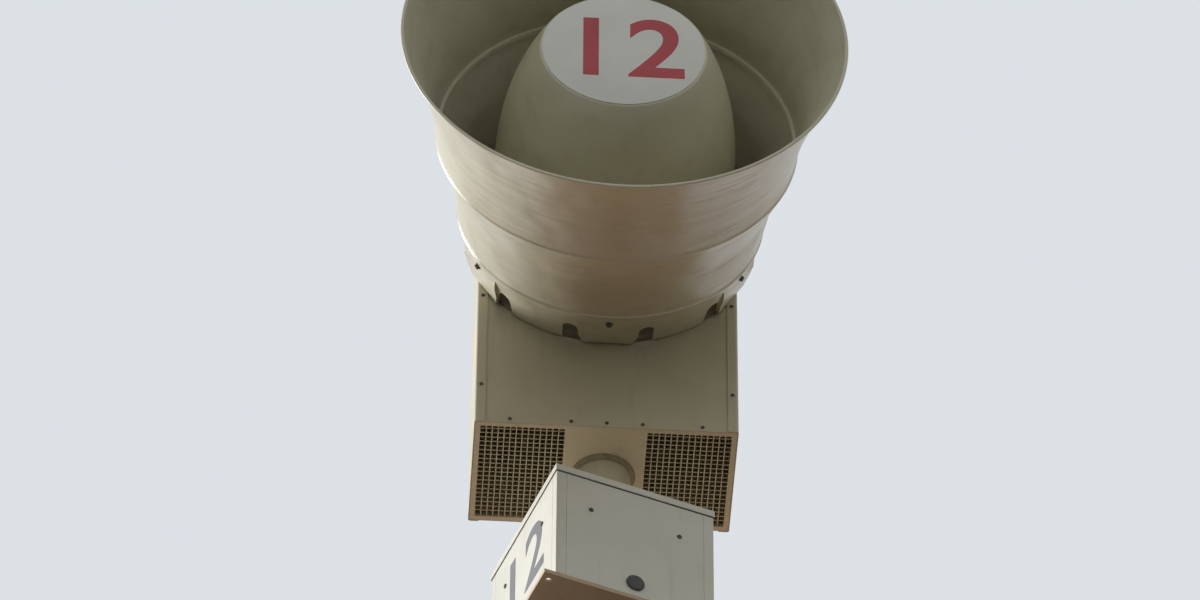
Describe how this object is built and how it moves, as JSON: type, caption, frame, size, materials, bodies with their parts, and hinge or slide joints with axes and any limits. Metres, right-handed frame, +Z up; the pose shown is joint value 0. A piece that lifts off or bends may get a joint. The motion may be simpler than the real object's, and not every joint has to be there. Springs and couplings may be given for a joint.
{
  "type": "civil defense siren tower",
  "caption": "Rotating warning siren with one large horn and a dome, on a rotator box on a tall steel pole with a control cabinet.",
  "frame": {"origin": "middle of the underside of the pole's foot, at ground level", "axes": "+Z up the pole, the horn faces -Y with the head at rest, +X to the right of a person who looks at the horn's mouth from the front"},
  "size_m": [0.9202, 1.1807, 13.7011],
  "materials": {
    "galvanised_steel": "satin",
    "cabinet_enamel": "satin",
    "rotator_enamel": "semi-gloss",
    "housing_enamel": "semi-gloss",
    "horn_gelcoat": "gloss",
    "stator_casting": "painted",
    "screen_wire": "satin",
    "plug_rubber": "matte",
    "dome_face_enamel": "semi-gloss"
  },
  "bodies": {
    "pole": {"base_flange": "galvanised_steel", "base_gussets": "galvanised_steel", "pole_lower": "galvanised_steel", "pole_upper": "galvanised_steel", "handhole_frame": "galvanised_steel", "handhole_cover": "galvanised_steel", "pole_top_gussets": "galvanised_steel", "cabinet_rails": "galvanised_steel", "conduit": "galvanised_steel", "conduit_straps": "galvanised_steel", "conduit_fittings": "galvanised_steel", "cabinet_box": "cabinet_enamel", "cabinet_door": "cabinet_enamel", "pole_top_plate": "rotator_enamel", "rotator_base_plate": "rotator_enamel", "rotator_posts": "rotator_enamel", "rotator_front_panel": "rotator_enamel", "rotator_right_panel": "rotator_enamel", "rotator_back_panel": "rotator_enamel", "rotator_left_panel": "rotator_enamel", "rotator_lid": "rotator_enamel", "rotator_bearing": "rotator_enamel", "access_plug": "plug_rubber"},
    "head": {"neck_pipe": "housing_enamel", "neck_flange": "housing_enamel", "housing_bottom": "housing_enamel", "housing_front_panel": "housing_enamel", "housing_back_panel": "housing_enamel", "housing_left_side": "housing_enamel", "housing_right_side": "housing_enamel", "housing_top": "housing_enamel", "left_intake_screen": "screen_wire", "right_intake_screen": "screen_wire", "horn_throat": "horn_gelcoat", "horn_bell": "horn_gelcoat", "horn_lip": "horn_gelcoat", "dome": "horn_gelcoat", "stator": "stator_casting", "dome_face": "dome_face_enamel"}
  },
  "joints": [
    {"name": "head_rotation", "type": "hinge", "parent": "pole", "child": "head", "pos_m": [0, 0, 12.5], "axis": [0, 0, 1], "continuous": true}
  ]
}
